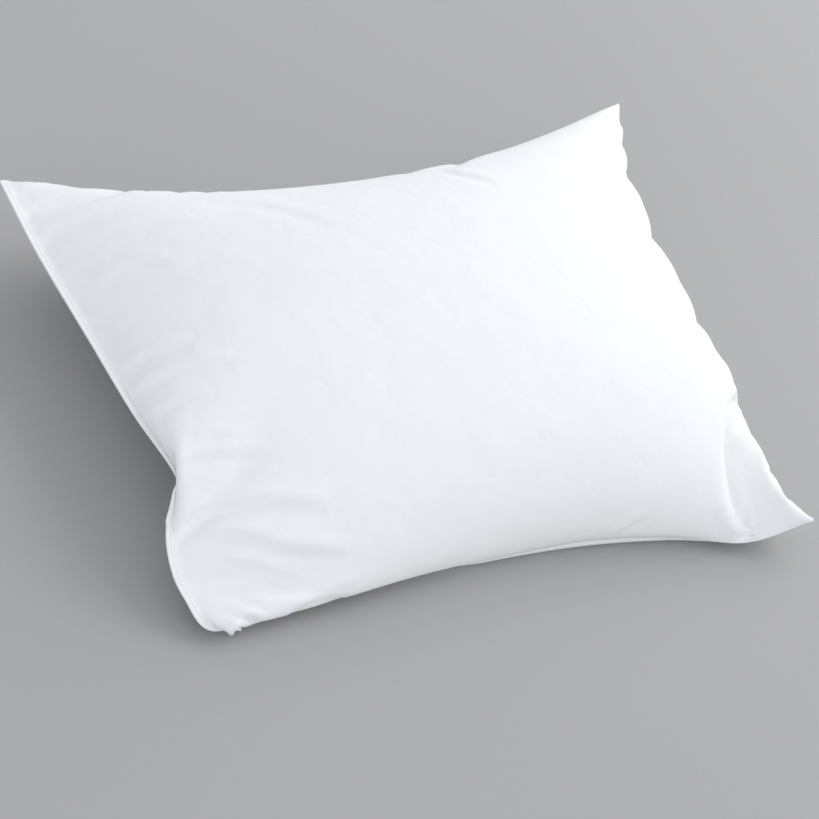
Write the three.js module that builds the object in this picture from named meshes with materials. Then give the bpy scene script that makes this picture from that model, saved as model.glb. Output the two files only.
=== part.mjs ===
// Bed pillow: two cover panels sewn together on three sides, filled with loose
// polyester fibre and closed on the fourth side by a topstitched seam.
// Millimetres, +Z up. It lies flat on its back panel, the long side along X,
// the closing seam on the -X side.
import * as THREE from 'three';

// ---------------------------------------------------------------- driving dimensions
const CLOTH = 0.8;               // cover cloth with its seam finish
const GAP = 0.35;                // clear space between pieces that touch
const CROWN = 100;               // rise of the top panel above the level of the seam
const BELLY = 92;                // drop of the bottom panel below it, before the floor
const FULLNESS = 0.46;           // 0.5 is a half-ellipse section, less is fuller
const NEAR_OVERHANG = 14;        // how far the top panel swells over the near seam
const RIGHT_OVERHANG = 9;        // and over the middle of the right seam
const LEFT_UNDERHANG = 12;       // how far the bottom panel swells past the closing seam
const SWELL_AT = 0.05;           // where a swell is widest, as a share of the width
const FLANGE = 6.5;              // turned-in edge outside the closing stitch line
const STITCH_LINE = 4;           // from the fold of the cover to the stitches
const FILL_INSET = 0.05;         // edge of the fibre, as a share of the panel
const FILL_CLEAR = 6.5;          // from the outer face of the cloth to the fibre
const SEWING_THREAD = 0.7;       // diameter, two plies of the closing seam's thread
const STITCH_CLEAR = 1;          // from the cloth to the thread, over the coarse facets
const CHAIN_THREAD = 1.6;        // width of the chain stitch
const OVERLOCK_THREAD = 3.2;     // width of the bound raw edge
const CHAIN_INSET = 0.012;       // distance inside the seam, as a share of the panel
const OVERLOCK_INSET = 0.026;
const LABEL = { width: 42, length: 46, thick: 0.6, along: 0.4, tilt: 0.28 };

const COLUMNS = 28;              // panel cells along X
const ROWS = 22;                 // panel cells along Y

// ---------------------------------------------------------------- seam line, [x, y, z]
const CORNER = {
  farLeft: [-328, 228, 73],
  farRight: [323, 241, 82],
  nearRight: [291, -245, 48],
  nearLeft: [-297, -224, 10],
};
const SIDE = {
  left: [
    CORNER.nearLeft, [-308, -195, 19], [-313, -161, 36], [-307, -134, 59],
    [-307, -121, 78], [-314, -50, 78], [-317, 31, 75], [-325, 142, 71], CORNER.farLeft,
  ],
  right: [
    CORNER.nearRight, [276, -218, 44], [272, -134, 42], [270, -46, 46],
    [273, 59, 56], [292, 160, 69], [304, 201, 76], CORNER.farRight,
  ],
  near: [
    CORNER.nearLeft, [-258, -230, 19], [-172, -220, 25], [-57, -212, 28],
    [77, -212, 30], [191, -222, 33], [258, -233, 38], CORNER.nearRight,
  ],
  far: [
    CORNER.farLeft, [-285, 217, 68], [-191, 188, 59], [-57, 176, 56],
    [86, 182, 56], [182, 200, 63], [268, 226, 76], CORNER.farRight,
  ],
};

function seamCurve(points) {
  return new THREE.CatmullRomCurve3(points.map((p) => new THREE.Vector3(...p)));
}

const SEAM = Object.fromEntries(
  Object.entries(SIDE).map(([name, points]) => [name, seamCurve(points)]),
);

// ---------------------------------------------------------------- cover surfaces
// u runs from the closing seam (0) to the right seam (1), v from near (0) to far (1).
const clampUnit = (t) => Math.min(1, Math.max(0, t));
const swell = (t) => (t / SWELL_AT) * Math.exp(1 - t / SWELL_AT);
const arch = (t) => Math.sin(Math.PI * clampUnit(t));

// Coons patch through the four seam curves: the level that both panels start from.
function seamLevel(u, v) {
  const near = SEAM.near.getPointAt(clampUnit(u));
  const far = SEAM.far.getPointAt(clampUnit(u));
  const left = SEAM.left.getPointAt(clampUnit(v));
  const right = SEAM.right.getPointAt(clampUnit(v));
  const across = near.multiplyScalar(1 - v).addScaledVector(far, v);
  const along = left.multiplyScalar(1 - u).addScaledVector(right, u);
  const corners = new THREE.Vector3()
    .addScaledVector(new THREE.Vector3(...CORNER.nearLeft), (1 - u) * (1 - v))
    .addScaledVector(new THREE.Vector3(...CORNER.nearRight), u * (1 - v))
    .addScaledVector(new THREE.Vector3(...CORNER.farLeft), (1 - u) * v)
    .addScaledVector(new THREE.Vector3(...CORNER.farRight), u * v);
  return across.add(along).sub(corners);
}

function fullness(u, v) {
  return Math.pow(Math.max(0, 16 * u * (1 - u) * v * (1 - v)), FULLNESS);
}

function topPoint(u, v) {
  const p = seamLevel(u, v);
  p.z += CROWN * fullness(u, v);
  p.y -= NEAR_OVERHANG * swell(v) * Math.sqrt(arch(u));
  p.x += RIGHT_OVERHANG * swell(1 - u) * arch(v) ** 2;
  return p;
}

function bottomPoint(u, v) {
  const p = seamLevel(u, v);
  p.z = Math.max(0, p.z - BELLY * fullness(u, v));
  p.x -= LEFT_UNDERHANG * swell(u) * arch(v) ** 2;
  return p;
}

// Grid positions crowd towards the seams, where the surface turns fastest.
const crowd = (i, n) => (1 - Math.cos((Math.PI * i) / n)) / 2;

function surfaceNormal(surface, u, v, side) {
  const step = 1e-3;
  const du = surface(clampUnit(u + step), v).sub(surface(clampUnit(u - step), v));
  const dv = surface(u, clampUnit(v + step)).sub(surface(u, clampUnit(v - step)));
  return du.cross(dv).normalize().multiplyScalar(side);
}

// Square to the turned-in edge, which lies along the closing seam and points to -X.
function edgeNormal(v) {
  const outward = new THREE.Vector3(-1, 0, 0);
  return SEAM.left.getTangentAt(v).cross(outward).normalize();
}

// ---------------------------------------------------------------- mesh helpers
function closedGeometry(outer, inner, columns, rows, side) {
  const positions = [...outer, ...inner].flatMap((p) => [p.x, p.y, p.z]);
  const at = (i, j) => j * columns + i;
  const depth = outer.length;
  const faces = [];
  const quad = (a, b, c, d) => {
    faces.push(...(side > 0 ? [a, b, c, a, c, d] : [c, b, a, d, c, a]));
  };
  for (let j = 0; j < rows - 1; j += 1) {
    for (let i = 0; i < columns - 1; i += 1) {
      const cell = [at(i, j), at(i + 1, j), at(i + 1, j + 1), at(i, j + 1)];
      quad(...cell);
      quad(...cell.map((k) => k + depth).reverse());
    }
  }
  const rim = [];
  for (let i = 0; i < columns - 1; i += 1) rim.push(at(i, 0));
  for (let j = 0; j < rows - 1; j += 1) rim.push(at(columns - 1, j));
  for (let i = columns - 1; i > 0; i -= 1) rim.push(at(i, rows - 1));
  for (let j = rows - 1; j > 0; j -= 1) rim.push(at(0, j));
  rim.forEach((a, k) => {
    const b = rim[(k + 1) % rim.length];
    quad(b, a, a + depth, b + depth);
  });
  const geometry = new THREE.BufferGeometry();
  geometry.setAttribute('position', new THREE.Float32BufferAttribute(positions, 3));
  geometry.setIndex(faces);
  geometry.computeVertexNormals();
  return geometry;
}

// Straight from point to point, as the cloth facets under it are.
function straightPath(points) {
  const path = new THREE.CurvePath();
  for (let k = 1; k < points.length; k += 1) {
    path.add(new THREE.LineCurve3(points[k - 1], points[k]));
  }
  return path;
}

function sewnTube(path, diameter, steps) {
  const arcSegments = 3;       // three.js doubles this on a full circle: six sides
  const section = new THREE.Shape();
  section.absarc(0, 0, diameter / 2, 0, 2 * Math.PI, false);
  return new THREE.ExtrudeGeometry(section, {
    steps,
    curveSegments: arcSegments,
    extrudePath: path,
    bevelEnabled: false,
  });
}

function material(color, roughness) {
  return new THREE.MeshStandardMaterial({ color, roughness, metalness: 0 });
}

function named(name, geometry, look) {
  const mesh = new THREE.Mesh(geometry, look);
  mesh.name = name;
  return mesh;
}

// ---------------------------------------------------------------- cover panels
// A thin shell over one face, with its turned-in edge along the closing seam.
function panelGeometry(surface, side) {
  const outer = [];
  const inner = [];
  for (let j = 0; j <= ROWS; j += 1) {
    const v = crowd(j, ROWS);
    const square = edgeNormal(v).multiplyScalar(side);
    for (const reach of [FLANGE, 0]) {
      const edge = surface(0, v).add(new THREE.Vector3(-reach, 0, 0));
      outer.push(edge.clone().addScaledVector(square, GAP / 2 + CLOTH));
      inner.push(edge.clone().addScaledVector(square, GAP / 2));
    }
    for (let i = 1; i <= COLUMNS; i += 1) {
      const u = crowd(i, COLUMNS);
      const onRim = i === COLUMNS || j === 0 || j === ROWS;
      const face = surface(u, v);
      if (onRim) {
        outer.push(face.clone().add(new THREE.Vector3(0, 0, side * (GAP / 2 + CLOTH))));
        inner.push(face.clone().add(new THREE.Vector3(0, 0, (side * GAP) / 2)));
      } else {
        const normal = surfaceNormal(surface, u, v, side);
        outer.push(face);
        inner.push(face.clone().addScaledVector(normal, -CLOTH));
      }
    }
  }
  return closedGeometry(outer, inner, COLUMNS + 2, ROWS + 1, side);
}

function topPanel() {
  return named('top_panel', panelGeometry(topPoint, 1), material('#f4f5f7', 0.9));
}

function bottomPanel() {
  return named('bottom_panel', panelGeometry(bottomPoint, -1), material('#eceef1', 0.9));
}

// ---------------------------------------------------------------- fibre fill
function fibreFill() {
  const columns = 20;
  const rows = 16;
  const upper = [];
  const lower = [];
  const span = 1 - 2 * FILL_INSET;
  for (let j = 0; j <= rows; j += 1) {
    for (let i = 0; i <= columns; i += 1) {
      const u = FILL_INSET + span * crowd(i, columns);
      const v = FILL_INSET + span * crowd(j, rows);
      const topNormal = surfaceNormal(topPoint, u, v, 1);
      const bottomNormal = surfaceNormal(bottomPoint, u, v, -1);
      upper.push(topPoint(u, v).addScaledVector(topNormal, -FILL_CLEAR));
      lower.push(bottomPoint(u, v).addScaledVector(bottomNormal, -FILL_CLEAR));
    }
  }
  const geometry = closedGeometry(upper, lower, columns + 1, rows + 1, 1);
  return named('fibre_fill', geometry, material('#fbfbf8', 1));
}

// ---------------------------------------------------------------- sewing
// Safety stitch inside the near, right and far seams: a U that rounds two corners.
function insideSeamPath(inset) {
  const round = 0.035;
  const low = inset;
  const high = 1 - inset;
  const route = [];
  const middle = (u, v) => topPoint(u, v).add(bottomPoint(u, v)).multiplyScalar(0.5);
  for (let t = 0.05; t < 0.94; t += 0.05) route.push(middle(t, low));
  route.push(middle(high - round / 3, low + round / 3));
  for (let t = 0.07; t < 0.94; t += 0.06) route.push(middle(high, t));
  route.push(middle(high - round / 3, high - round / 3));
  for (let t = 0.93; t > 0.04; t -= 0.05) route.push(middle(t, high));
  return new THREE.CatmullRomCurve3(route);
}

function chainStitch() {
  const geometry = sewnTube(insideSeamPath(CHAIN_INSET), CHAIN_THREAD, 110);
  return named('chainstitch_thread', geometry, material('#ffffff', 0.7));
}

function overlockStitch() {
  const geometry = sewnTube(insideSeamPath(OVERLOCK_INSET), OVERLOCK_THREAD, 110);
  return named('overlock_thread', geometry, material('#ffffff', 0.7));
}

function closingThread(name, side) {
  const lift = side * (GAP / 2 + CLOTH + STITCH_CLEAR + SEWING_THREAD / 2);
  const points = [];
  for (let j = 2; j <= ROWS - 2; j += 1) {
    const v = crowd(j, ROWS);
    const onEdge = SEAM.left.getPointAt(v).add(new THREE.Vector3(-STITCH_LINE, 0, 0));
    points.push(onEdge.addScaledVector(edgeNormal(v), lift));
  }
  return named(name, sewnTube(straightPath(points), SEWING_THREAD, 80), material('#ffffff', 0.6));
}

// ---------------------------------------------------------------- care label
// A blank satin tape that hangs from the far seam.
function careLabel() {
  const geometry = new THREE.BoxGeometry(LABEL.width, LABEL.thick, LABEL.length, 4, 1, 6);
  const bend = geometry.attributes.position;
  for (let k = 0; k < bend.count; k += 1) {
    const down = 0.5 - bend.getZ(k) / LABEL.length;
    bend.setY(k, bend.getY(k) + 4 * Math.sin(Math.PI * down));
  }
  geometry.computeVertexNormals();
  const label = named('care_label', geometry, material('#f8f8f6', 0.5));
  const seam = SEAM.far.getPointAt(LABEL.along);
  label.rotation.x = LABEL.tilt;
  const drop = (LABEL.length / 2) * Math.cos(LABEL.tilt);
  const out = (LABEL.length / 2) * Math.sin(LABEL.tilt);
  label.position.set(seam.x, seam.y + out + 2.2, seam.z - drop - 1);
  return label;
}

// ---------------------------------------------------------------- assembly
const pillow = new THREE.Group();
pillow.add(
  topPanel(),
  bottomPanel(),
  fibreFill(),
  chainStitch(),
  overlockStitch(),
  closingThread('closing_needle_thread', 1),
  closingThread('closing_bobbin_thread', -1),
  careLabel(),
);

// The origin is the middle of the box that the pillow fills, on the floor.
const box = new THREE.Box3().setFromObject(pillow);
const middle = box.getCenter(new THREE.Vector3());
pillow.position.set(-middle.x, -middle.y, -box.min.z);
pillow.updateMatrixWorld(true);

export default pillow;
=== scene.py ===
"""Bed pillow: two sewn percale panels solved as cloth around their fibre, with the closing
seam's topstitching, the seams inside, a blank label, and a studio floor, light and camera."""

import math

import bpy
import numpy as np
from bpy.props import FloatProperty, FloatVectorProperty, IntProperty, PointerProperty
from mathutils import Matrix, Vector


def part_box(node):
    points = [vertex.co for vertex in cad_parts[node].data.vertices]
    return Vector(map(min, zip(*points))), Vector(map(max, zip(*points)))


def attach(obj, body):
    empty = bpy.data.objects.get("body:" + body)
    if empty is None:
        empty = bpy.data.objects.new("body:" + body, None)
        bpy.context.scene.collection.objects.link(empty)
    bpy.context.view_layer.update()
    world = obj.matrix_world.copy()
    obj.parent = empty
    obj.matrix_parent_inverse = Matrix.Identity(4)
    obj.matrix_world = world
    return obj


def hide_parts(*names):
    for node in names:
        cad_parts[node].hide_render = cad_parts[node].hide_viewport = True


bl_info = {
    "name": "Sewn Bed Pillow",
    "version": (1, 0, 0),
    "blender": (4, 5, 0),
    "location": "View3D > Sidebar > Pillow",
    "description": "Builds a filled, sewn bed pillow from its flat panels",
    "category": "Add Mesh",
}

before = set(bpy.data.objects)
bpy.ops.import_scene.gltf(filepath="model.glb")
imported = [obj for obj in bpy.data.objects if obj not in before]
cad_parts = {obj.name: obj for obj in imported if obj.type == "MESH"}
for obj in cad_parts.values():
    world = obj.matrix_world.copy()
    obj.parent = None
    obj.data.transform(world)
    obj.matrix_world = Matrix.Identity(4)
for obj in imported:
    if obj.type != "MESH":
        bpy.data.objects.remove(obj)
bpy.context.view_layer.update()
MM = 0.001


def linear(hex_colour):
    """An sRGB hex colour as the linear RGBA that shaders take."""
    channels = [int(hex_colour[k:k + 2], 16) / 255 for k in (1, 3, 5)]
    bent = [c / 12.92 if c <= 0.04045 else ((c + 0.055) / 1.055) ** 2.4 for c in channels]
    return (*bent, 1.0)


# ------------------------------------------------------------------ sizes and colours
class PillowSizes(bpy.types.PropertyGroup):
    """What a maker would choose for this pillow."""

    width: FloatProperty(
        name="Width", description="Long side of a panel, lying flat between its seams",
        default=0.660, unit="LENGTH")
    depth: FloatProperty(
        name="Depth", description="Short side of a panel, lying flat between its seams",
        default=0.508, unit="LENGTH")
    fill_volume: FloatProperty(
        name="Fill volume", description="Room that the fibre takes up inside the cover",
        default=0.0264, unit="VOLUME", precision=4)
    cloth: FloatProperty(
        name="Cloth", description="Thickness of the cover cloth",
        default=0.0004, unit="LENGTH", precision=4)
    hem: FloatProperty(
        name="Hem", description="Width of the turned-in edge outside the closing seam",
        default=0.0065, unit="LENGTH", precision=4)
    stitch: FloatProperty(
        name="Stitch", description="Length from one stitch hole to the next",
        default=0.0032, unit="LENGTH", precision=4)
    thread: FloatProperty(
        name="Thread", description="Diameter of the sewing thread",
        default=0.0005, unit="LENGTH", precision=5)
    label_width: FloatProperty(
        name="Label width", description="Width of the care label's tape",
        default=0.042, unit="LENGTH")
    label_drop: FloatProperty(
        name="Label drop", description="How far the folded label hangs from the seam",
        default=0.046, unit="LENGTH")
    seed: IntProperty(
        name="Seed", description="Start of every random draw", default=7, min=0)


class PillowColours(bpy.types.PropertyGroup):
    """Colours of the cloth, the thread and the studio."""

    cover: FloatVectorProperty(
        name="Cover", description="Bleached percale", subtype="COLOR", size=4,
        min=0, max=1, default=linear("#f7f8f9"))
    thread: FloatVectorProperty(
        name="Thread", description="White sewing thread", subtype="COLOR", size=4,
        min=0, max=1, default=linear("#f1f3f6"))
    fibre: FloatVectorProperty(
        name="Fibre", description="Polyester fibre", subtype="COLOR", size=4,
        min=0, max=1, default=linear("#f5f5f1"))
    floor: FloatVectorProperty(
        name="Floor", description="Studio floor", subtype="COLOR", size=4,
        min=0, max=1, default=linear("#b0afae"))


# ------------------------------------------------------------------ the seam line
# [x, y, z] in millimetres from the middle of the flat pillow. The near left ear is folded
# under, and the closing seam dips where that fold pulls it down.
FAR_LEFT, FAR_RIGHT = (-328, 227, 73), (324, 246, 83)
NEAR_RIGHT, NEAR_LEFT = (299, -237, 40), (-275, -230, 9)
SEAM = {
    "left": [
        NEAR_LEFT, (-306, -228, 15), (-317, -208, 25), (-324, -188, 36), (-322, -160, 50),
        (-311, -134, 66), (-305, -117, 76), (-317, -50, 80), (-321, 31, 77), (-326, 142, 72),
        FAR_LEFT],
    "right": [
        NEAR_RIGHT, (282, -212, 38), (269, -175, 38), (263, -120, 42), (267, -40, 49),
        (278, 59, 59), (292, 150, 68), (306, 203, 77), FAR_RIGHT],
    "near": [
        NEAR_LEFT, (-292, -230, 7), (-268, -225, 8), (-232, -222, 10), (-172, -216, 11),
        (-57, -207, 10), (77, -201, 11), (170, -212, 12), (240, -232, 14), NEAR_RIGHT],
    "far": [
        FAR_LEFT, (-285, 211, 68), (-191, 174, 58), (-57, 159, 53), (86, 161, 55),
        (182, 177, 62), (268, 217, 75), FAR_RIGHT],
}


def seam_shift():
    """From the seam line's own middle to the frame's, read off the far right ear."""
    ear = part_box("top_panel")[1]
    return np.array([ear[0] - FAR_RIGHT[0] * MM, ear[1] - FAR_RIGHT[1] * MM, 0.0])


def smooth_line(points, per_span=60):
    """A Catmull-Rom line through points, with the distance along it."""
    p = np.array(points, float)
    p = np.vstack([2 * p[0] - p[1], p, 2 * p[-1] - p[-2]])
    t = np.linspace(0, 1, per_span, endpoint=False)[:, None]
    spans = []
    for a, b, c, d in zip(p, p[1:], p[2:], p[3:]):
        bend = (2 * a - 5 * b + 4 * c - d) * t**2 + (3 * b - a - 3 * c + d) * t**3
        spans.append(0.5 * (2 * b + (c - a) * t + bend))
    line = np.vstack([*spans, p[-2:-1]])
    along = np.r_[0, np.cumsum(np.linalg.norm(np.diff(line, axis=0), axis=1))]
    return line, along


def seam_points(side, cells):
    """A side's seam line cut into equal lengths."""
    line, along = smooth_line(np.array(SEAM[side]) * MM + seam_shift())
    at = np.linspace(0, along[-1], cells + 1)
    return np.stack([np.interp(at, along, line[:, k]) for k in range(3)], axis=1)


# ------------------------------------------------------------------ cloth solver
COARSE_CELLS = (54, 42)        # along the width and the depth
SWELL = (0.09, 0.08)           # first guess of the top's rise and the back's drop, metres
EASE_DEPTH = 0.100             # how far inside a seam its gathering reaches, metres
GATHER = {"near": 0.012, "far": 0.022, "left": 0.012, "right": 0.02}   # cloth to spare
MOST_GATHER = 1.01             # longest cloth against its seam line, as a share
# Cloth that each panel has in play along its width and depth, as a share of its cut: the
# weave gives a little on top, and part of the back is folded under.
PANEL_SHARE = ((0.984, 1.025), (0.97, 0.81))
FLOOR_CLEAR = 0.0006           # from the floor to the middle of the cloth, metres
WEIGHT = 0.0008                # sag in each step, as a share of a cell
PRESS = 0.02                   # most push of the fibre in a step, as a share of a cell
PRESS_GAIN = 5                 # how fast that push grows as room is missing
GLIDE = 0.9                    # share of its movement that a point keeps
PASSES = 2                     # over the whole cloth in each step
STRETCH, SQUEEZE, SHEAR = 1.0, 0.8, 0.3   # how firmly the cloth resists each


def pull(a, b, rest, stretch, squeeze):
    """Move pairs of points towards their rest length. a and b are views, changed in place."""
    gap = b - a
    length = np.sqrt(np.einsum("...i,...i->...", gap, gap)) + 1e-12
    error = (length - rest) / length
    error *= np.where(error > 0, stretch, squeeze)
    gap *= 0.5 * error[..., None]
    a += gap
    b -= gap


def midpoints(grid, axis):
    """Double the cells of a grid along one axis, along smooth curves."""
    n = grid.shape[axis]
    first, last = grid.take([0], axis), grid.take([n - 1], axis)
    padded = np.concatenate(
        [2 * first - grid.take([1], axis), grid, 2 * last - grid.take([n - 2], axis)], axis)
    part = [padded.take(range(k, n - 1 + k), axis) for k in range(4)]
    shape = list(grid.shape)
    shape[axis] = 2 * n - 1
    finer = np.empty(shape)
    cut = [slice(None)] * grid.ndim
    cut[axis] = slice(0, None, 2)
    finer[tuple(cut)] = grid
    cut[axis] = slice(1, None, 2)
    finer[tuple(cut)] = (9 * (part[1] + part[2]) - part[0] - part[3]) / 16
    return finer


class SewnCover:
    """Two panels sewn edge to edge: points[panel, row, column], the top panel first."""

    RIM = {
        "near": (slice(None), 0), "far": (slice(None), -1),
        "left": (slice(None), slice(None), 0), "right": (slice(None), slice(None), -1)}

    def __init__(self, width, depth, cells, points=None):
        self.flat = (width, depth)
        self.cells = cells
        self.cell = (width / cells[0], depth / cells[1])
        self.target = {
            side: seam_points(side, cells[0] if side in ("near", "far") else cells[1])
            for side in SEAM}
        self.measure_rest()
        self.points = self.first_guess() if points is None else points
        self.last = self.points.copy()
        self.join()

    def first_guess(self):
        """A Coons patch through the seams, swollen up for the top and down for the back."""
        u = np.linspace(0, 1, self.cells[0] + 1)[None, :, None]
        v = np.linspace(0, 1, self.cells[1] + 1)[:, None, None]
        near, far = self.target["near"], self.target["far"]
        left, right = self.target["left"][:, None], self.target["right"][:, None]
        level = (1 - v) * near + v * far + (1 - u) * left + u * right
        level -= (1 - u) * ((1 - v) * near[0] + v * far[0])
        level -= u * ((1 - v) * near[-1] + v * far[-1])
        swell = np.maximum(0, 16 * u * (1 - u) * v * (1 - v))[..., 0] ** 0.46
        cover = np.stack([level, level])
        cover[0, ..., 2] += SWELL[0] * swell
        cover[1, ..., 2] = np.maximum(cover[1, ..., 2] - SWELL[1] * swell, FLOOR_CLEAR)
        return cover

    def measure_rest(self):
        """Rest lengths: the flat cut, eased in towards each seam with a little to spare."""
        du, dv = self.cell
        u = np.linspace(0, self.flat[0], self.cells[0] + 1)
        v = np.linspace(0, self.flat[1], self.cells[1] + 1)

        def ease(side, cell, away):
            steps = np.linalg.norm(np.diff(self.target[side], axis=0), axis=1) / cell
            short = np.minimum(steps * (1 + GATHER[side]), MOST_GATHER) - 1
            reach = np.exp(-((away / EASE_DEPTH) ** 2))
            return short, reach

        short, reach = ease("near", du, v)
        along = 1 + reach[:, None] * short[None, :]
        short, reach = ease("far", du, self.flat[1] - v)
        along += reach[:, None] * short[None, :]
        short, reach = ease("left", dv, u)
        across = 1 + short[:, None] * reach[None, :]
        short, reach = ease("right", dv, self.flat[0] - u)
        across += short[:, None] * reach[None, :]
        middle = np.maximum(0, np.sin(math.pi * u / self.flat[0])) ** 0.7
        self.along = du * np.stack([along * share[0] for share in PANEL_SHARE])
        self.across = dv * np.stack(
            [across * (1 + (share[1] - 1) * middle) for share in PANEL_SHARE])
        wide = 0.5 * (self.along[:, 1:] + self.along[:, :-1])
        deep = 0.5 * (self.across[:, :, 1:] + self.across[:, :, :-1])
        self.diagonal = np.hypot(wide, deep)

    def join(self):
        """The two panels share the points of their seams."""
        for rim in self.RIM.values():
            edge = self.points[rim]
            edge[:] = edge.mean(axis=0)

    def normals(self):
        """Outward normals, as long as the area that each point stands for."""
        p = self.points
        along, across = np.gradient(p, axis=2), np.gradient(p, axis=1)
        normal = np.cross(along, across)
        normal[1] *= -1
        return normal

    def volume(self, normals):
        """The room inside, with the points of a seam shared by both panels."""
        share = np.ones(self.points.shape[:3])
        for rim in self.RIM.values():
            share[rim] *= 0.5
        return float((np.einsum("...i,...i->...", self.points, normals) * share).sum() / 3)

    def hold(self, stiffness):
        """One pass over every thread of the cloth: its length, shear and bending."""
        p = self.points
        columns, rows = self.cells[0] + 1, self.cells[1] + 1
        sideways = np.moveaxis(p, 1, 2)
        for first in (0, 1):
            a, b = slice(first, -1, 2), slice(first + 1, None, 2)
            pull(p[:, :, a], p[:, :, b], self.along[:, :, first::2], STRETCH, SQUEEZE)
            rest = np.moveaxis(self.across, 1, 2)[:, :, first::2]
            pull(sideways[:, :, a], sideways[:, :, b], rest, STRETCH, SQUEEZE)
            rest = self.diagonal[:, :, first::2]
            pull(p[:, :-1, a], p[:, 1:, b], rest, SHEAR, SHEAR)
            pull(p[:, 1:, a], p[:, :-1, b], rest, SHEAR, SHEAR)
        for first in range(4):
            a, b = slice(first, columns - 2, 4), slice(first + 2, columns, 4)
            rest = (self.along[:, :, 1:] + self.along[:, :, :-1])[:, :, first::4]
            pull(p[:, :, a], p[:, :, b], rest, 0, stiffness)
            a, b = slice(first, rows - 2, 4), slice(first + 2, rows, 4)
            rest = (self.across[:, 1:] + self.across[:, :-1])[:, first::4]
            pull(p[:, a], p[:, b], rest, 0, stiffness)

    def settle(self, steps, volume, stiffness, grip):
        """Let the fibre's push, the cloth, the seams and the floor come to rest."""
        area = self.cell[0] * self.cell[1]
        size = self.cell[0]
        for _ in range(steps):
            p = self.points
            normals = self.normals()
            short = volume / self.volume(normals) - 1
            push = PRESS * float(np.clip(PRESS_GAIN * short, -1, 1)) * size
            glide = (p - self.last) * GLIDE
            self.last = p.copy()
            p += glide + normals * (push / area)
            p[..., 2] -= WEIGHT * size
            for _ in range(PASSES):
                self.hold(stiffness)
                self.join()
                for side, rim in self.RIM.items():
                    p[rim] += grip[side] * (self.target[side] - p[rim])
            under = p[..., 2] < FLOOR_CLEAR
            p[..., 2] = np.maximum(p[..., 2], FLOOR_CLEAR)
            self.last[under] = p[under]

    def finer(self):
        """The same cover on cells of half the size."""
        points = midpoints(midpoints(self.points, 2), 1)
        return SewnCover(*self.flat, (self.cells[0] * 2, self.cells[1] * 2), points)


# (steps, bending stiffness, grip of each seam on its line), from coarse cells to fine
STAGES = (
    (650, 0.3, {"near": 0.3, "far": 0.2, "left": 0.5, "right": 0.2}),
    (400, 0.4, {"near": 0.15, "far": 0.1, "left": 0.5, "right": 0.1}),
    (110, 0.4, {"near": 0.1, "far": 0.08, "left": 0.5, "right": 0.08}),
)
solved = {}


def solved_cover(sizes):
    """The cover at rest, solved once from coarse cells to fine ones."""
    if "cover" not in solved:
        cover = SewnCover(sizes.width, sizes.depth, COARSE_CELLS)
        stages = STAGES
        for level, (steps, stiffness, grip) in enumerate(stages):
            cover = cover.finer() if level else cover
            cover.settle(steps, sizes.fill_volume, stiffness, grip)
        press_creases(cover)
        solved["cover"] = cover
    return solved["cover"]


# ------------------------------------------------------------------ edges of the panels
# Distance outside the seam line and height above the panels' shared plane, millimetres.
# A sewn edge turns in over its seam; the closing edge is folded in and stitched flat.
SEWN_EDGE = ((-0.15, 0.62), (0.10, 0.42), (-0.15, 0.22), (-3.0, 0.21), (-6.0, 0.21))
STITCH_LINE, STITCH_SINK = 2.5, 0.16   # the line of the closing stitches and its dent
HEM_EDGE, HEM_HEIGHT = 6.5, 0.66       # the closing fold's outer edge and upper face
CLOSED_EDGE = (
    (0.0, HEM_HEIGHT), (1.5, HEM_HEIGHT), (STITCH_LINE, HEM_HEIGHT - STITCH_SINK),
    (3.5, HEM_HEIGHT), (5.4, HEM_HEIGHT), (6.3, 0.60), (HEM_EDGE, 0.43), (6.3, 0.24),
    (4.0, 0.21), (-4.0, 0.21))
CORNER_CLEAR = 0.045   # the turned-in cloth is trimmed back to the corners from here, metres
CORNER_SHARE = 0.03    # and this share of it is left at the corner itself
EDGE_REACH = 0.060     # how far in the cloth tells which way the edge points, metres
TURN = {"left": 1, "right": -1, "near": -1, "far": 1}   # which way round each side runs


def unit(vectors):
    return vectors / (np.linalg.norm(vectors, axis=-1, keepdims=True) + 1e-12)


def softened(values, passes):
    """Values evened out along their first axis, ends kept."""
    values = values.copy()
    for _ in range(passes):
        values[1:-1] += 0.5 * (0.5 * (values[2:] + values[:-2]) - values[1:-1])
    return values


def edge_frame(cover, side):
    """Points of one seam with their outward and upward directions."""
    p = cover.points
    reach = round(EDGE_REACH / cover.cell[0])
    inner = {"near": p[:, reach], "far": p[:, -1 - reach],
             "left": p[:, :, reach], "right": p[:, :, -1 - reach]}[side]
    edge = p[cover.RIM[side]][0]
    along = unit(np.gradient(softened(edge, 4), axis=0))
    outward = -softened((inner - edge).sum(axis=0), 30)
    outward = unit(outward - along * (outward * along).sum(axis=1, keepdims=True))
    return edge, outward, TURN[side] * unit(np.cross(along, outward))


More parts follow.
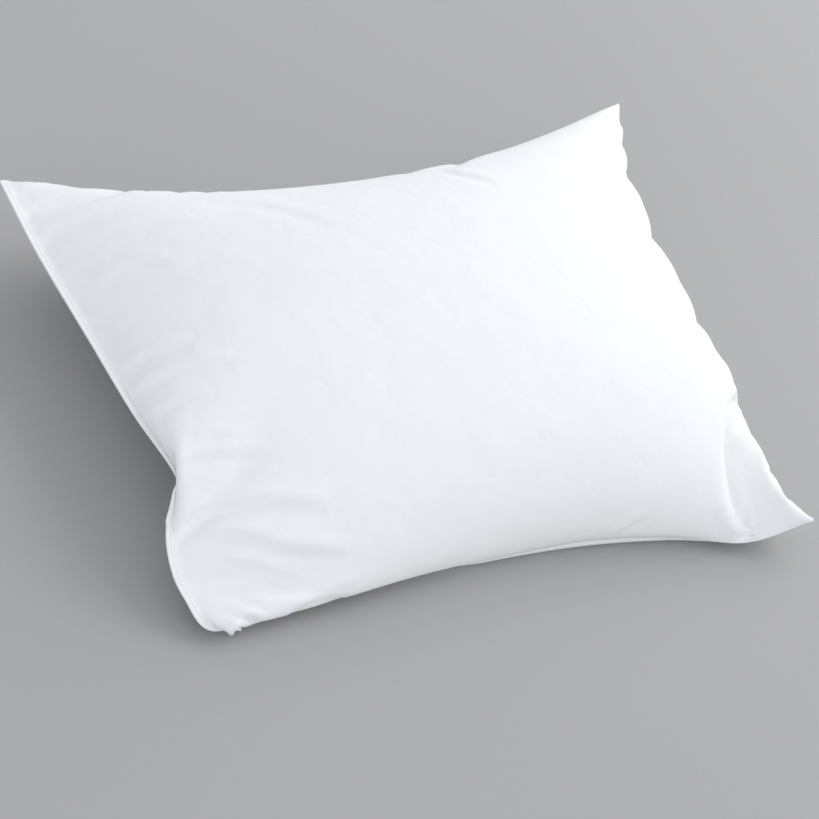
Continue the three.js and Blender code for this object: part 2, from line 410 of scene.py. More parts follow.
def bordered(cover, panel, hem):
    """One panel's points with its sewn edges and its folded closing edge added."""
    sign = 1 if panel == 0 else -1
    profiles = {side: np.array(SEWN_EDGE) * MM for side in SEAM}
    profiles["left"] = np.array(CLOSED_EDGE) * MM * (hem / (HEM_EDGE * MM), 1)
    frames = {side: edge_frame(cover, side) for side in SEAM}
    extra = {side: len(profile) - 1 for side, profile in profiles.items()}
    rows, columns = cover.points.shape[1:3]
    grid = np.zeros((rows + extra["near"] + extra["far"],
                     columns + extra["left"] + extra["right"], 3))
    inner = (slice(extra["near"], extra["near"] + rows),
             slice(extra["left"], extra["left"] + columns))
    grid[inner] = cover.points[panel]

    def place(side, k):
        """The row or column that holds a side's k-th profile point."""
        if side in ("left", "near"):
            return extra[side] - k
        return k - 1 + (extra["left"] + columns if side == "right" else extra["near"] + rows)

    offset = {}
    for side, (edge, outward, _) in frames.items():
        along = np.linspace(0, len(edge) * cover.cell[0] / CORNER_CLEAR, len(edge))
        taper = np.clip(np.minimum(along, along[::-1]), CORNER_SHARE, 1)
        out = profiles[side][:, 0, None]
        offset[side] = outward[None] * np.where(out < 0, out * taper, out)[..., None]
    height = {side: profile[:, 1] for side, profile in profiles.items()}
    for side in ("left", "right"):
        edge, _, up = frames[side]
        for k in range(len(profiles[side])):
            grid[inner[0], place(side, k)] = (
                edge + offset[side][k] + sign * up * height[side][k])
    for side, row_end in (("near", 0), ("far", -1)):
        edge, _, up = frames[side]
        for k in range(len(profiles[side])):
            row = place(side, k)
            grid[row, inner[1]] = edge + offset[side][k] + sign * up * height[side][k]
            for cross, at in (("left", 0), ("right", -1)):
                for j in range(len(profiles[cross])):
                    lift = sign * up[at] * min(height[side][k], height[cross][j])
                    grid[row, place(cross, j)] = (
                        edge[at] + offset[side][k][at] + offset[cross][j][row_end] + lift)
    return grid, extra


def flat_positions(cover, extra):
    """Where the points of a bordered panel lie on the flat cloth, in metres."""
    edge_step = 0.3        # from one edge point to the next, as a share of a cell

    def side(count, size, before, after):
        step = size / count
        inside = np.linspace(0, size, count + 1)
        return np.r_[-step * np.arange(before, 0, -1) * edge_step, inside,
                     size + step * np.arange(1, after + 1) * edge_step]

    u = side(cover.cells[0], cover.flat[0], extra["left"], extra["right"])
    v = side(cover.cells[1], cover.flat[1], extra["near"], extra["far"])
    return np.stack(np.meshgrid(u, v), axis=2)


# ------------------------------------------------------------------ creases
# Folds pressed into the cloth by handling: points across the top panel in millimetres from
# its near left corner, depth, half width, and the share of the depth raised beside it.
CREASES = (
    (((8, 108), (20, 116), (62, 113), (90, 107), (134, 92)), 3.8, 6.5, 0.8),
    (((22, 94), (44, 92), (66, 83), (92, 68), (144, 50)), 3.4, 6.0, 0.7),
    (((34, 72), (56, 64), (78, 46), (106, 30), (152, 22)), 2.8, 5.5, 0.8),
    (((20, 50), (38, 40), (58, 26)), 1.9, 3.8, 0.6),
    (((16, 36), (28, 28), (44, 18)), 1.6, 3.4, 0.6),
    (((84, 14), (112, 18), (146, 12)), 3.2, 5.5, 0.5),
    (((36, 178), (56, 175), (80, 170)), 1.4, 4.0, 0.6),
    (((12, 162), (34, 163), (62, 158), (96, 150)), 2.2, 4.5, 0.7),
    (((28, 364), (58, 366), (90, 358)), 1.4, 5.5, 0.7),
    (((8, 270), (34, 271), (70, 265)), 2.0, 5.5, 0.7),
    (((6, 242), (26, 245), (48, 244), (96, 234)), 2.4, 5.5, 0.7),
    (((10, 214), (34, 217), (62, 212)), 1.5, 4.5, 0.6),
    (((146, 424), (180, 406), (206, 386), (240, 346)), 1.2, 7.0, 0.6),
    (((384, 412), (396, 390), (420, 364)), 1.6, 5.5, 0.6),
    (((446, 8), (458, 18), (472, 32)), 1.6, 4.5, 0.5),
    (((572, 8), (590, 16), (610, 24)), 1.4, 4.5, 0.5),
)
RIDGE_AT, RIDGE_WIDTH = 1.7, 1.2     # the cloth raised beside a fold, in half widths


def press_creases(cover):
    """Press the folds into the top panel of a solved cover."""
    u = np.linspace(0, cover.flat[0], cover.cells[0] + 1)
    v = np.linspace(0, cover.flat[1], cover.cells[1] + 1)
    flat = np.stack(np.meshgrid(u, v), axis=2)
    normals = unit(cover.normals()[0])
    lift = np.zeros(flat.shape[:2])
    for points, depth, half_width, ridge in CREASES:
        line, along = smooth_line(np.array(points) * MM, 24)
        reach = 4 * half_width * MM
        inside = np.all((flat > line.min(axis=0) - reach) & (flat < line.max(axis=0) + reach),
                        axis=2)
        gap = flat[inside][:, None] - line
        nearest = np.linalg.norm(gap, axis=2).argmin(axis=1)
        gap = gap[np.arange(len(nearest)), nearest]
        way = unit(np.gradient(line, axis=0))[nearest]
        beside = (way[:, 0] * gap[:, 1] - way[:, 1] * gap[:, 0]) / (half_width * MM)
        past = (way * gap).sum(axis=1) / (half_width * MM)
        share = along[nearest] / along[-1]
        fade = np.sqrt(np.maximum(0, 4 * share * (1 - share))) * np.exp(-(past ** 2))
        raised = ridge * np.exp(-(((beside - RIDGE_AT) / RIDGE_WIDTH) ** 2))
        lift[inside] += depth * MM * fade * (raised - np.exp(-(beside ** 2)))
    cover.points[0] += normals * lift[..., None]


# ------------------------------------------------------------------ mesh helpers
def numbered(rows, columns):
    """The points of a grid, counted row by row."""
    return np.arange(rows * columns).reshape(rows, columns)


def grid_faces(index, flip=False):
    """Four-sided faces between the numbered points of a grid."""
    quads = np.stack(
        [index[:-1, :-1], index[:-1, 1:], index[1:, 1:], index[1:, :-1]], axis=-1)
    quads = quads.reshape(-1, 4)
    return quads[:, ::-1] if flip else quads


def new_object(name, points, faces, material, flat=None):
    """A smooth mesh object, with flat positions in metres as its UV map."""
    mesh = bpy.data.meshes.new(name)
    mesh.from_pydata(
        np.asarray(points).tolist(), [], [[int(k) for k in face] for face in faces])
    mesh.shade_smooth()
    if flat is not None:
        corners = np.empty(len(mesh.loops), dtype=np.int32)
        mesh.loops.foreach_get("vertex_index", corners)
        layer = mesh.uv_layers.new(name="Flat cloth")
        layer.uv.foreach_set("vector", np.asarray(flat)[corners].astype(np.float32).ravel())
    mesh.materials.append(material)
    obj = bpy.data.objects.new(name, mesh)
    bpy.context.scene.collection.objects.link(obj)
    return obj


def made_plain(obj):
    """Swap an object's mesh for the one its modifiers give, and take them off."""
    graph = bpy.context.evaluated_depsgraph_get()
    mesh = bpy.data.meshes.new_from_object(
        obj.evaluated_get(graph), preserve_all_data_layers=True, depsgraph=graph)
    mesh.name = obj.name
    old = obj.data
    obj.modifiers.clear()
    obj.data = mesh
    bpy.data.meshes.remove(old)


def thickened(obj, thickness):
    """Give a sheet its thickness, half to each side, as a closed body."""
    shell = obj.modifiers.new("Thickness", "SOLIDIFY")
    shell.thickness = thickness
    shell.offset = 0
    made_plain(obj)


def hand_over(obj, nodes):
    """Hang a piece under the root body and hide the CAD nodes that it stands for."""
    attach(obj, "root")
    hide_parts(*nodes)


# ------------------------------------------------------------------ materials
def add_node(tree, kind, settings=(), values=(), links=()):
    """A shader or geometry node with its settings, constant inputs and incoming links."""
    node = tree.nodes.new(kind)
    for name, value in dict(settings).items():
        setattr(node, name, value)
    for name, value in dict(values).items():
        node.inputs[name].default_value = value
    for name, source in dict(links).items():
        tree.links.new(source, node.inputs[name])
    return node


def new_material(name):
    material = bpy.data.materials.new(name)
    material.use_nodes = True
    tree = material.node_tree
    return material, tree, tree.nodes["Principled BSDF"]


def ripple(tree, coordinate, spacing):
    """A wave along one coordinate, with a crest every spacing metres."""
    angle = add_node(
        tree, "ShaderNodeMath", {"operation": "MULTIPLY"}, {1: math.tau / spacing},
        {0: coordinate})
    wave = add_node(
        tree, "ShaderNodeMath", {"operation": "SINE"}, links={0: angle.outputs[0]})
    return wave.outputs[0]


def mottled(tree, coordinates, colour, scale, share):
    """A colour that varies by a small share of its brightness, over patches of cloth."""
    noise = add_node(
        tree, "ShaderNodeTexNoise", values={"Scale": scale, "Detail": 4.0, "Roughness": 0.6},
        links={"Vector": coordinates})
    span = add_node(
        tree, "ShaderNodeMapRange",
        values={"From Min": 0.3, "From Max": 0.7, "To Min": 1 - share, "To Max": 1.0},
        links={"Value": noise.outputs["Fac"]})
    # The share, the two colours and the result of a colour mix go by number.
    shade = add_node(
        tree, "ShaderNodeMix", {"data_type": "RGBA", "blend_type": "MULTIPLY"},
        {0: 1.0, 6: colour}, {7: span.outputs["Result"]})
    return shade.outputs[2]


def raise_surface(tree, surface, *layers):
    """Lay patterns over one another, each a height and how far it rises in metres."""
    under = {}
    for height, distance in layers:
        relief = add_node(
            tree, "ShaderNodeBump", values={"Strength": 1.0, "Distance": distance},
            links={"Height": height, **under})
        under = {"Normal": relief.outputs["Normal"]}
    tree.links.new(under["Normal"], surface.inputs["Normal"])


def percale(colour):
    """Bleached cotton blend percale: matt, tight plain weave, softly rumpled."""
    material, tree, surface = new_material("Bleached_percale")
    flat = add_node(tree, "ShaderNodeUVMap", {"uv_map": "Flat cloth"}).outputs["UV"]
    tree.links.new(mottled(tree, flat, colour, 18.0, 0.02), surface.inputs["Base Color"])
    surface.inputs["Roughness"].default_value = 0.85
    surface.inputs["Specular IOR Level"].default_value = 0.25
    surface.inputs["Sheen Weight"].default_value = 0.12
    surface.inputs["Sheen Roughness"].default_value = 0.6
    # Soft rumples about 35 mm and 9 mm across, under the weave.
    broad = add_node(
        tree, "ShaderNodeTexNoise", values={"Scale": 28.0, "Detail": 2.0, "Distortion": 0.6},
        links={"Vector": flat})
    fine = add_node(
        tree, "ShaderNodeTexNoise", values={"Scale": 110.0, "Detail": 3.0},
        links={"Vector": flat})
    # A plain weave of 0.14 mm threads, drawn at 0.6 mm so that it holds together when seen
    # from a couple of metres.
    parts = add_node(tree, "ShaderNodeSeparateXYZ", links={"Vector": flat})
    warp, weft = (ripple(tree, parts.outputs[k], 0.6 * MM) for k in (0, 1))
    weave = add_node(
        tree, "ShaderNodeMath", {"operation": "MULTIPLY"}, links={0: warp, 1: weft})
    raise_surface(
        tree, surface, (broad.outputs["Fac"], 1.6 * MM), (fine.outputs["Fac"], 0.2 * MM),
        (weave.outputs[0], 0.02 * MM))
    return material


def spun_thread(colour):
    """Spun polyester sewing thread: matt, with its twist."""
    material, tree, surface = new_material("Spun_polyester_thread")
    place = add_node(tree, "ShaderNodeTexCoord").outputs["Object"]
    tree.links.new(mottled(tree, place, colour, 600.0, 0.05), surface.inputs["Base Color"])
    surface.inputs["Roughness"].default_value = 0.7
    surface.inputs["Sheen Weight"].default_value = 0.2
    # The twist of the plies, 0.5 mm apart.
    twist = add_node(
        tree, "ShaderNodeTexWave", {"bands_direction": "DIAGONAL"},
        {"Scale": 320.0, "Distortion": 1.0}, {"Vector": place})
    raise_surface(tree, surface, (twist.outputs["Fac"], 0.04 * MM))
    return material


def loose_fibre(colour):
    """Carded polyester fibre: soft, fuzzy, with strands lying every way."""
    material, tree, surface = new_material("Polyester_fibre")
    place = add_node(tree, "ShaderNodeTexCoord").outputs["Object"]
    tree.links.new(mottled(tree, place, colour, 40.0, 0.06), surface.inputs["Base Color"])
    surface.inputs["Roughness"].default_value = 0.95
    surface.inputs["Sheen Weight"].default_value = 0.5
    tufts = add_node(
        tree, "ShaderNodeTexNoise",
        values={"Scale": 90.0, "Detail": 8.0, "Roughness": 0.75, "Distortion": 2.5},
        links={"Vector": place})
    raise_surface(tree, surface, (tufts.outputs["Fac"], 4 * MM))
    return material


def satin_tape(colour):
    """Woven satin label tape: smoother than the cloth, with fine floats along it."""
    material, tree, surface = new_material("White_satin_tape")
    flat = add_node(tree, "ShaderNodeUVMap", {"uv_map": "Flat cloth"}).outputs["UV"]
    tree.links.new(mottled(tree, flat, colour, 120.0, 0.02), surface.inputs["Base Color"])
    surface.inputs["Roughness"].default_value = 0.38
    surface.inputs["Sheen Weight"].default_value = 0.1
    # Floats 0.1 mm wide, drawn at 0.4 mm.
    parts = add_node(tree, "ShaderNodeSeparateXYZ", links={"Vector": flat})
    floats = ripple(tree, parts.outputs[0], 0.4 * MM)
    raise_surface(tree, surface, (floats, 0.02 * MM))
    return material


def backdrop_paper(colour):
    """Seamless grey backdrop paper, quite matt."""
    material, tree, surface = new_material("Grey_backdrop_paper")
    place = add_node(tree, "ShaderNodeTexCoord").outputs["Object"]
    tree.links.new(mottled(tree, place, colour, 3.0, 0.01), surface.inputs["Base Color"])
    surface.inputs["Roughness"].default_value = 0.95
    surface.inputs["Specular IOR Level"].default_value = 0.1
    return material


# ------------------------------------------------------------------ stitches
def stitch_tree():
    """Geometry nodes: one stitch on every point, turned along the seam."""
    tree = bpy.data.node_groups.new("Row of stitches", "GeometryNodeTree")
    for name, kind in (("Points", "Geometry"), ("Stitch", "Object"), ("Unevenness", "Float"),
                       ("Seed", "Int"), ("Material", "Material")):
        tree.interface.new_socket(name, in_out="INPUT", socket_type=f"NodeSocket{kind}")
    tree.interface.new_socket("Stitches", in_out="OUTPUT", socket_type="NodeSocketGeometry")
    given = tree.nodes.new("NodeGroupInput").outputs
    shape = add_node(tree, "GeometryNodeObjectInfo", links={"Object": given["Stitch"]})
    vector = {"data_type": "FLOAT_VECTOR"}
    aim = add_node(tree, "GeometryNodeInputNamedAttribute", vector, {"Name": "aim"})
    out = add_node(tree, "GeometryNodeInputNamedAttribute", vector, {"Name": "out"})
    turn = add_node(
        tree, "FunctionNodeAlignRotationToVector", {"axis": "X"},
        links={"Vector": aim.outputs["Attribute"]})
    turn = add_node(
        tree, "FunctionNodeAlignRotationToVector", {"axis": "Z", "pivot_axis": "X"},
        links={"Rotation": turn.outputs["Rotation"], "Vector": out.outputs["Attribute"]})
    least, most = (
        add_node(tree, "ShaderNodeMath", {"operation": operation}, {0: 1.0},
                 {1: given["Unevenness"]})
        for operation in ("SUBTRACT", "ADD"))
    scale = add_node(
        tree, "FunctionNodeRandomValue", {"data_type": "FLOAT"},
        links={2: least.outputs[0], 3: most.outputs[0], "Seed": given["Seed"]})
    placed = add_node(
        tree, "GeometryNodeInstanceOnPoints",
        links={"Points": given["Points"], "Instance": shape.outputs["Geometry"],
               "Rotation": turn.outputs["Rotation"], "Scale": scale.outputs[1]})
    real = add_node(
        tree, "GeometryNodeRealizeInstances", links={"Geometry": placed.outputs["Instances"]})
    dyed = add_node(
        tree, "GeometryNodeSetMaterial",
        links={"Geometry": real.outputs["Geometry"], "Material": given["Material"]})
    add_node(tree, "NodeGroupOutput", links={"Stitches": dyed.outputs["Geometry"]})
    return tree


def thread_shape(name, path, diameter, closed, material):
    """A short piece of thread along a path of points, as a tube of a few dozen faces."""
    sides = 6
    path = np.array(path, float)
    if closed:
        ahead, behind = np.roll(path, -1, axis=0), np.roll(path, 1, axis=0)
        along = unit(ahead - behind)
    else:
        along = unit(np.gradient(path, axis=0))
    across = unit(np.cross(along, (0.0, 0.31, 0.95)))     # a way that no path here takes
    third = np.cross(along, across)
    angle = np.arange(sides) * math.tau / sides
    ring = (np.cos(angle)[None, :, None] * across[:, None]
            + np.sin(angle)[None, :, None] * third[:, None])
    points = (path[:, None] + 0.5 * diameter * ring).reshape(-1, 3)
    faces = []
    count = len(path)
    for i in range(count if closed else count - 1):
        for j in range(sides):
            here, there = i * sides, (i + 1) % count * sides
            after = (j + 1) % sides
            faces.append((here + j, here + after, there + after, there + j))
    if not closed:
        faces.append(tuple(range(sides))[::-1])
        faces.append(tuple((count - 1) * sides + j for j in range(sides)))
    return new_object(name, points, faces, material)


def stitch_row(name, shape, points, aim, out, unevenness, seed, material):
    """Stitches on the given points, turned along aim with their tops towards out."""
    row = new_object(name, points, [], material)
    for title, values in (("aim", aim), ("out", out)):
        layer = row.data.attributes.new(title, "FLOAT_VECTOR", "POINT")
        layer.data.foreach_set("vector", np.asarray(values, np.float32).ravel())
    tree = bpy.data.node_groups.get("Row of stitches") or stitch_tree()
    modifier = row.modifiers.new("Stitches", "NODES")
    modifier.node_group = tree
    values = {
        "Stitch": shape, "Unevenness": unevenness, "Seed": seed, "Material": material}
    for item in tree.interface.items_tree:
        if item.in_out == "INPUT" and item.name in values:
            modifier[item.identifier] = values[item.name]
    made_plain(row)
    bpy.data.objects.remove(shape)
    return row


def along_edge(cover, side, step, outside, height, first=0.0, last=1.0):
    """Evenly spaced points beside a seam, with their directions along and up."""
    edge, outward, up = edge_frame(cover, side)
    line = edge + outward * outside + up * height
    travel = np.r_[0, np.cumsum(np.linalg.norm(np.diff(line, axis=0), axis=1))]
    count = int((last - first) * travel[-1] / step)
    at = (first * travel[-1]) + step * (np.arange(count) + 0.5)
    at_point = [np.stack([np.interp(at, travel, v[:, k]) for k in range(3)], axis=1)
                for v in (line, np.gradient(line, axis=0), up)]
    return at_point[0], unit(at_point[1]), unit(at_point[2])


# ------------------------------------------------------------------ operators
class PILLOW_OT_cover(bpy.types.Operator):
    """Sew, fill and lay down the two cover panels"""

    bl_idname = "pillow.cover"
    bl_label = "Cover Panels"

    def execute(self, context):
        sizes = context.scene.pillow_sizes
        cloth = percale(context.scene.pillow_colours.cover)
        cover = solved_cover(sizes)
        for panel, name, node in ((0, "Top_panel_cloth", "top_panel"),
                                  (1, "Back_panel_cloth", "bottom_panel")):
            grid, extra = bordered(cover, panel, sizes.hem)
            flat = flat_positions(cover, extra).reshape(-1, 2)
            faces = grid_faces(numbered(*grid.shape[:2]), flip=panel == 1)
            obj = new_object(name, grid.reshape(-1, 3), faces, cloth, flat)
            thickened(obj, sizes.cloth)
            hand_over(obj, [node])
        return {"FINISHED"}


class PILLOW_OT_fill(bpy.types.Operator):
    """Pack the cover with loose fibre"""

    bl_idname = "pillow.fill"
    bl_label = "Fibre Fill"

    INSET = 62 * MM      # the fibre stops short of the seams
    ROUND = 40 * MM      # and rounds off towards them
    CLEAR = 7 * MM       # and this far inside the cloth
    TUFT = 1.5 * MM      # spread of the heights of its tufts
    THIN = 0.2           # most of both, as a share of the room between the panels
    GRID = (85, 67)      # points along the width and the depth

    def execute(self, context):
        sizes = context.scene.pillow_sizes
        fibre = loose_fibre(context.scene.pillow_colours.fibre)
        cover = solved_cover(sizes)
        columns, rows = self.GRID
        u = np.linspace(self.INSET, sizes.width - self.INSET, columns) / cover.cell[0]
        v = np.linspace(self.INSET, sizes.depth - self.INSET, rows) / cover.cell[1]
        i, j = u.astype(int), v.astype(int)
        s, t = (u - i)[None, :, None], (v - j)[:, None, None]

        def resampled(q):
            near = (1 - s) * q[np.ix_(j, i)] + s * q[np.ix_(j, i + 1)]
            far = (1 - s) * q[np.ix_(j + 1, i)] + s * q[np.ix_(j + 1, i + 1)]
            return (1 - t) * near + t * far

        outward = unit(cover.normals())
        for _ in range(3):
            outward += sum(np.roll(outward, step, axis) for step in (-1, 1) for axis in (1, 2))
            outward = unit(outward)
        sides = [resampled(q) for q in cover.points]
        middle = (sides[0] + sides[1]) / 2
        rim = np.minimum(
            np.minimum(u, u[::-1])[None] * cover.cell[0],
            np.minimum(v, v[::-1])[:, None] * cover.cell[1]) - self.INSET
        round_off = np.sqrt(1 - (1 - np.clip(rim / self.ROUND, 0, 1)) ** 2)[..., None]
        sides = [middle + (side - middle) * round_off for side in sides]
        gap = np.linalg.norm(sides[0] - sides[1], axis=2, keepdims=True)
        tufts = np.random.default_rng(sizes.seed).normal(0, 1, (2, rows, columns, 1))
        inward = np.minimum(self.CLEAR + self.TUFT * np.abs(tufts), self.THIN * gap)
        upper, lower = (
            side - inward[k] * resampled(outward[k]) for k, side in enumerate(sides))
        points = np.concatenate([upper.reshape(-1, 3), lower[1:-1, 1:-1].reshape(-1, 3)])
        above = numbered(rows, columns)
        below = above.copy()             # both layers share the points of their rim
        below[1:-1, 1:-1] = above.size + numbered(rows - 2, columns - 2)
        faces = np.concatenate([grid_faces(above), grid_faces(below, flip=True)])
        obj = new_object("Loose_fibre_fill", points, faces, fibre)
        hand_over(obj, ["fibre_fill"])
        return {"FINISHED"}


class PILLOW_OT_closing_seam(bpy.types.Operator):
    """Topstitch the folded edge that closes the pillow"""

    bl_idname = "pillow.closing_seam"
    bl_label = "Closing Stitches"

    BACK_TACK = ((0.0, 0.03), (0.97, 1.0))   # shares of the seam that are sewn twice
    TACK_ASIDE = 0.5 * MM

    def execute(self, context):
        sizes = context.scene.pillow_sizes
        thread = spun_thread(context.scene.pillow_colours.thread)
        cover = solved_cover(sizes)
        top = (HEM_HEIGHT - 0.5 * STITCH_SINK) * MM + 0.5 * sizes.cloth
        for name, node, side in (("Needle_thread_stitches", "closing_needle_thread", 1),
                                 ("Bobbin_thread_stitches", "closing_bobbin_thread", -1)):
            rows = [along_edge(cover, "left", sizes.stitch, STITCH_LINE * MM, side * top)]
            for first, last in self.BACK_TACK:
                rows.append(along_edge(
                    cover, "left", sizes.stitch, STITCH_LINE * MM + self.TACK_ASIDE,
                    side * top, first, last))
            points, aim, out = (np.concatenate(part) for part in zip(*rows))
            # A stitch rises out of its hole, lies along the cloth and dives into the next one.
            half = 0.46 * sizes.stitch
            arch = [(-half, 0, -0.8), (-0.8 * half, 0, -0.1), (-0.35 * half, 0, 0.35),
                    (0.35 * half, 0, 0.35), (0.8 * half, 0, -0.1), (half, 0, -0.8)]
            arch = [(x, y, z * sizes.thread) for x, y, z in arch]
            shape = thread_shape(name + "_one", arch, sizes.thread, False, thread)
            row = stitch_row(name, shape, points, aim, side * out, 0.06,
                             sizes.seed + side, thread)
            hand_over(row, [node])
        return {"FINISHED"}


class PILLOW_OT_inner_seams(bpy.types.Operator):
    """Chain stitch and overlock the three seams inside"""

    bl_idname = "pillow.inner_seams"
    bl_label = "Inner Seams"

    def execute(self, context):
        sizes = context.scene.pillow_sizes
        thread = (bpy.data.materials.get("Spun_polyester_thread")
                  or spun_thread(context.scene.pillow_colours.thread))
        cover = solved_cover(sizes)
        # A flat link over the seam line, and a loop around the raw edges.
        turn = np.arange(10) * math.tau / 10
        link = np.stack([0.62 * sizes.stitch * np.cos(turn), 0.6 * MM * np.sin(turn),
                         0.15 * MM * np.cos(2 * turn)], axis=1)
        loop = np.stack([0.35 * sizes.stitch * np.sin(turn), 1.6 * MM * np.cos(turn),
                         0.75 * MM * np.sin(turn)], axis=1)
        for name, node, path, outside, height in (
                ("Chainstitch_thread_links", "chainstitch_thread", link, -1.6, 0.66),
                ("Overlock_thread_loops", "overlock_thread", loop, -5.6, 0.0)):
            rows = [
                along_edge(cover, side, sizes.stitch, outside * MM, height * MM, 0.02, 0.98)
                for side in ("near", "right", "far")]
            points, aim, out = (np.concatenate(part) for part in zip(*rows))
            shape = thread_shape(name + "_one", path, sizes.thread, True, thread)
            row = stitch_row(name, shape, points, aim, out, 0.05, sizes.seed, thread)
            hand_over(row, [node])
        return {"FINISHED"}


class PILLOW_OT_label(bpy.types.Operator):
    """Hang the blank care label from the far seam"""

    bl_idname = "pillow.label"
    bl_label = "Care Label"

    ALONG = 0.4          # share of the far seam before it
    TAPE = 0.3 * MM      # its thickness
    ROWS, COLUMNS = 25, 13
    LEAN, BEND, BEND_REACH = 0.28, 1.0, 0.08   # its slope, and how it leaves the seam
    CURL = 4.0 * MM      # how far its edges stand off

    def execute(self, context):
        sizes = context.scene.pillow_sizes
        satin = satin_tape(context.scene.pillow_colours.thread)
        cover = solved_cover(sizes)
        edge, outward, _ = edge_frame(cover, "far")
        travel = np.linspace(0, 1, len(edge))
        place = np.array([np.interp(self.ALONG, travel, edge[:, k]) for k in range(3)])
        away = np.array([np.interp(self.ALONG, travel, outward[:, k]) for k in range(3)])
        away[2] = 0
        away = unit(away)
        across = np.cross(away, (0, 0, 1.0))
        # The tape goes out of the seam, bends down, folds and comes back up behind.
        length = sizes.label_drop
        s = np.linspace(0, 1, self.ROWS)
        lean = self.LEAN + self.BEND * np.exp(-s / self.BEND_REACH)
        step = np.stack([np.sin(lean), -np.cos(lean)], axis=1) * length / (self.ROWS - 1)
        front = np.vstack([[0, 0], np.cumsum(step[1:], axis=0)])
        normal = np.stack([np.cos(lean), np.sin(lean)], axis=1)
        apart = (0.35 + 0.9 * np.sin(math.pi * s) ** 2 + 0.6 * s)[:, None] * MM
        fold = front[-1] + np.array([np.sin(lean[-1]), -np.cos(lean[-1])]) * MM
        path = np.vstack([front + normal * apart, fold, (front - normal * apart)[::-1]])
        w = np.linspace(-0.5, 0.5, self.COLUMNS) * sizes.label_width
        curl = (w / sizes.label_width) ** 2 * self.CURL
        run = np.r_[0, np.cumsum(np.linalg.norm(np.diff(path, axis=0), axis=1))]
        fall = np.sin(math.pi * 0.5 * np.minimum(1, -path[:, 1] / length))
        points = (place + across * w[None, :, None]
                  + away * (path[:, 0, None] + curl[None] * fall[:, None])[..., None]
                  + np.array([0, 0, 1.0]) * path[:, 1, None, None])
        flat = np.stack(np.meshgrid(w, run), axis=2).reshape(-1, 2)
        faces = grid_faces(numbered(len(path), self.COLUMNS))
        obj = new_object("Care_label_tape", points.reshape(-1, 3), faces, satin, flat)
        thickened(obj, self.TAPE)
        hand_over(obj, ["care_label"])
        return {"FINISHED"}


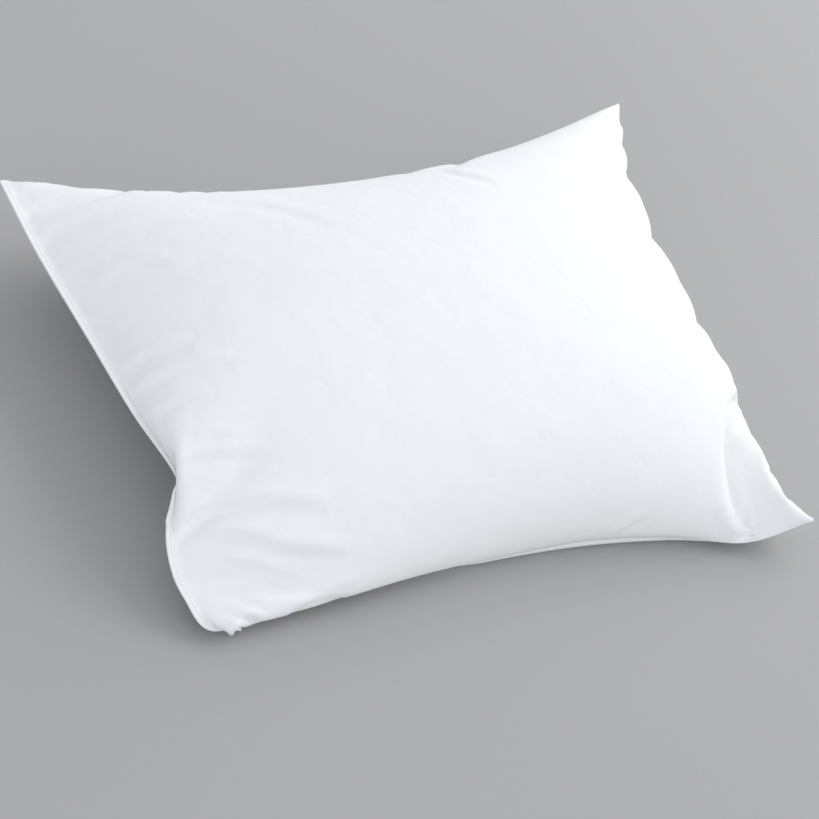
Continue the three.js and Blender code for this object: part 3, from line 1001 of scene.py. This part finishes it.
class PILLOW_OT_studio(bpy.types.Operator):
    """Set up the floor, the soft light and the camera"""

    bl_idname = "pillow.studio"
    bl_label = "Studio"

    AZIMUTH, ELEVATION, ROLL = -44.0, 43.0, 26.0      # of the camera, degrees
    AIM = (0.0, 0.0, 0.0766)           # half the pillow's height over its middle, metres
    DISTANCE = 3.617                   # from there to the camera, metres
    SIDE, LIFT = -0.0221, -0.0689      # slide of both to the camera's right and up, metres
    FLOOR = 6.0                        # half the width of the floor, metres

    def execute(self, context):
        scene = context.scene
        azimuth, elevation, roll = (
            math.radians(a) for a in (self.AZIMUTH, self.ELEVATION, self.ROLL))
        back = Vector((math.sin(azimuth) * math.cos(elevation),
                       -math.cos(azimuth) * math.cos(elevation), math.sin(elevation)))
        level = (-back).cross(Vector((0, 0, 1))).normalized()
        raised = level.cross(-back)
        right = math.cos(roll) * level + math.sin(roll) * raised
        up = math.cos(roll) * raised - math.sin(roll) * level
        aim = Vector(self.AIM) + Vector(seam_shift())
        aim += right * self.SIDE + up * self.LIFT

        lens = bpy.data.cameras.new("Camera")
        lens.lens = 180
        lens.sensor_width = 36
        camera = bpy.data.objects.new("Camera", lens)
        place = aim + back * self.DISTANCE
        camera.matrix_world = Matrix((
            (right.x, up.x, back.x, place.x), (right.y, up.y, back.y, place.y),
            (right.z, up.z, back.z, place.z), (0, 0, 0, 1)))
        scene.collection.objects.link(camera)
        scene.camera = camera

        corners = [(x * self.FLOOR, y * self.FLOOR, 0)
                   for x, y in ((-1, -1), (1, -1), (1, 1), (-1, 1))]
        floor = new_object(
            "Studio_floor", corners, [(0, 1, 2, 3)], backdrop_paper(scene.pillow_colours.floor))
        for name, spot, size, power in (
                ("Key_softbox", Vector((2.4, 0.78, 1.725)), 3.4, 64),
                ("Fill_softbox", back * 2.4 - up * 1.5, 2.0, 16)):
            light = bpy.data.lights.new(name, "AREA")
            light.shape = "DISK"
            light.size = size
            light.energy = power
            lamp = bpy.data.objects.new(name, light)
            lamp.matrix_world = Matrix.Translation(spot) @ spot.to_track_quat(
                "Z", "Y").to_matrix().to_4x4()
            scene.collection.objects.link(lamp)
        world = bpy.data.worlds.new("Studio_air")
        world.use_nodes = True
        air = world.node_tree.nodes["Background"]
        air.inputs["Color"].default_value = linear("#f1f4f9")
        air.inputs["Strength"].default_value = 0.76
        scene.world = world
        scene.view_settings.view_transform = "Standard"
        return {"FINISHED"}


class PILLOW_PT_panel(bpy.types.Panel):
    """Sizes, colours and building steps of the pillow"""

    bl_idname = "PILLOW_PT_panel"
    bl_label = "Sewn Bed Pillow"
    bl_space_type = "VIEW_3D"
    bl_region_type = "UI"
    bl_category = "Pillow"

    def draw(self, context):
        for group in (context.scene.pillow_sizes, context.scene.pillow_colours):
            for name in group.bl_rna.properties.keys():
                if name not in {"rna_type", "name"}:
                    self.layout.prop(group, name)
        for operator in STEPS:
            self.layout.operator(operator.bl_idname)


STEPS = (
    PILLOW_OT_cover, PILLOW_OT_fill, PILLOW_OT_closing_seam, PILLOW_OT_inner_seams,
    PILLOW_OT_label, PILLOW_OT_studio)
CLASSES = (PillowSizes, PillowColours, *STEPS, PILLOW_PT_panel)


def register():
    for cls in CLASSES:
        bpy.utils.register_class(cls)
    bpy.types.Scene.pillow_sizes = PointerProperty(type=PillowSizes)
    bpy.types.Scene.pillow_colours = PointerProperty(type=PillowColours)


def unregister():
    del bpy.types.Scene.pillow_colours
    del bpy.types.Scene.pillow_sizes
    for cls in reversed(CLASSES):
        bpy.utils.unregister_class(cls)


def main():
    register()
    bpy.ops.pillow.cover()
    bpy.ops.pillow.fill()
    bpy.ops.pillow.closing_seam()
    bpy.ops.pillow.inner_seams()
    bpy.ops.pillow.label()
    bpy.ops.pillow.studio()


if __name__ == "__main__":
    main()
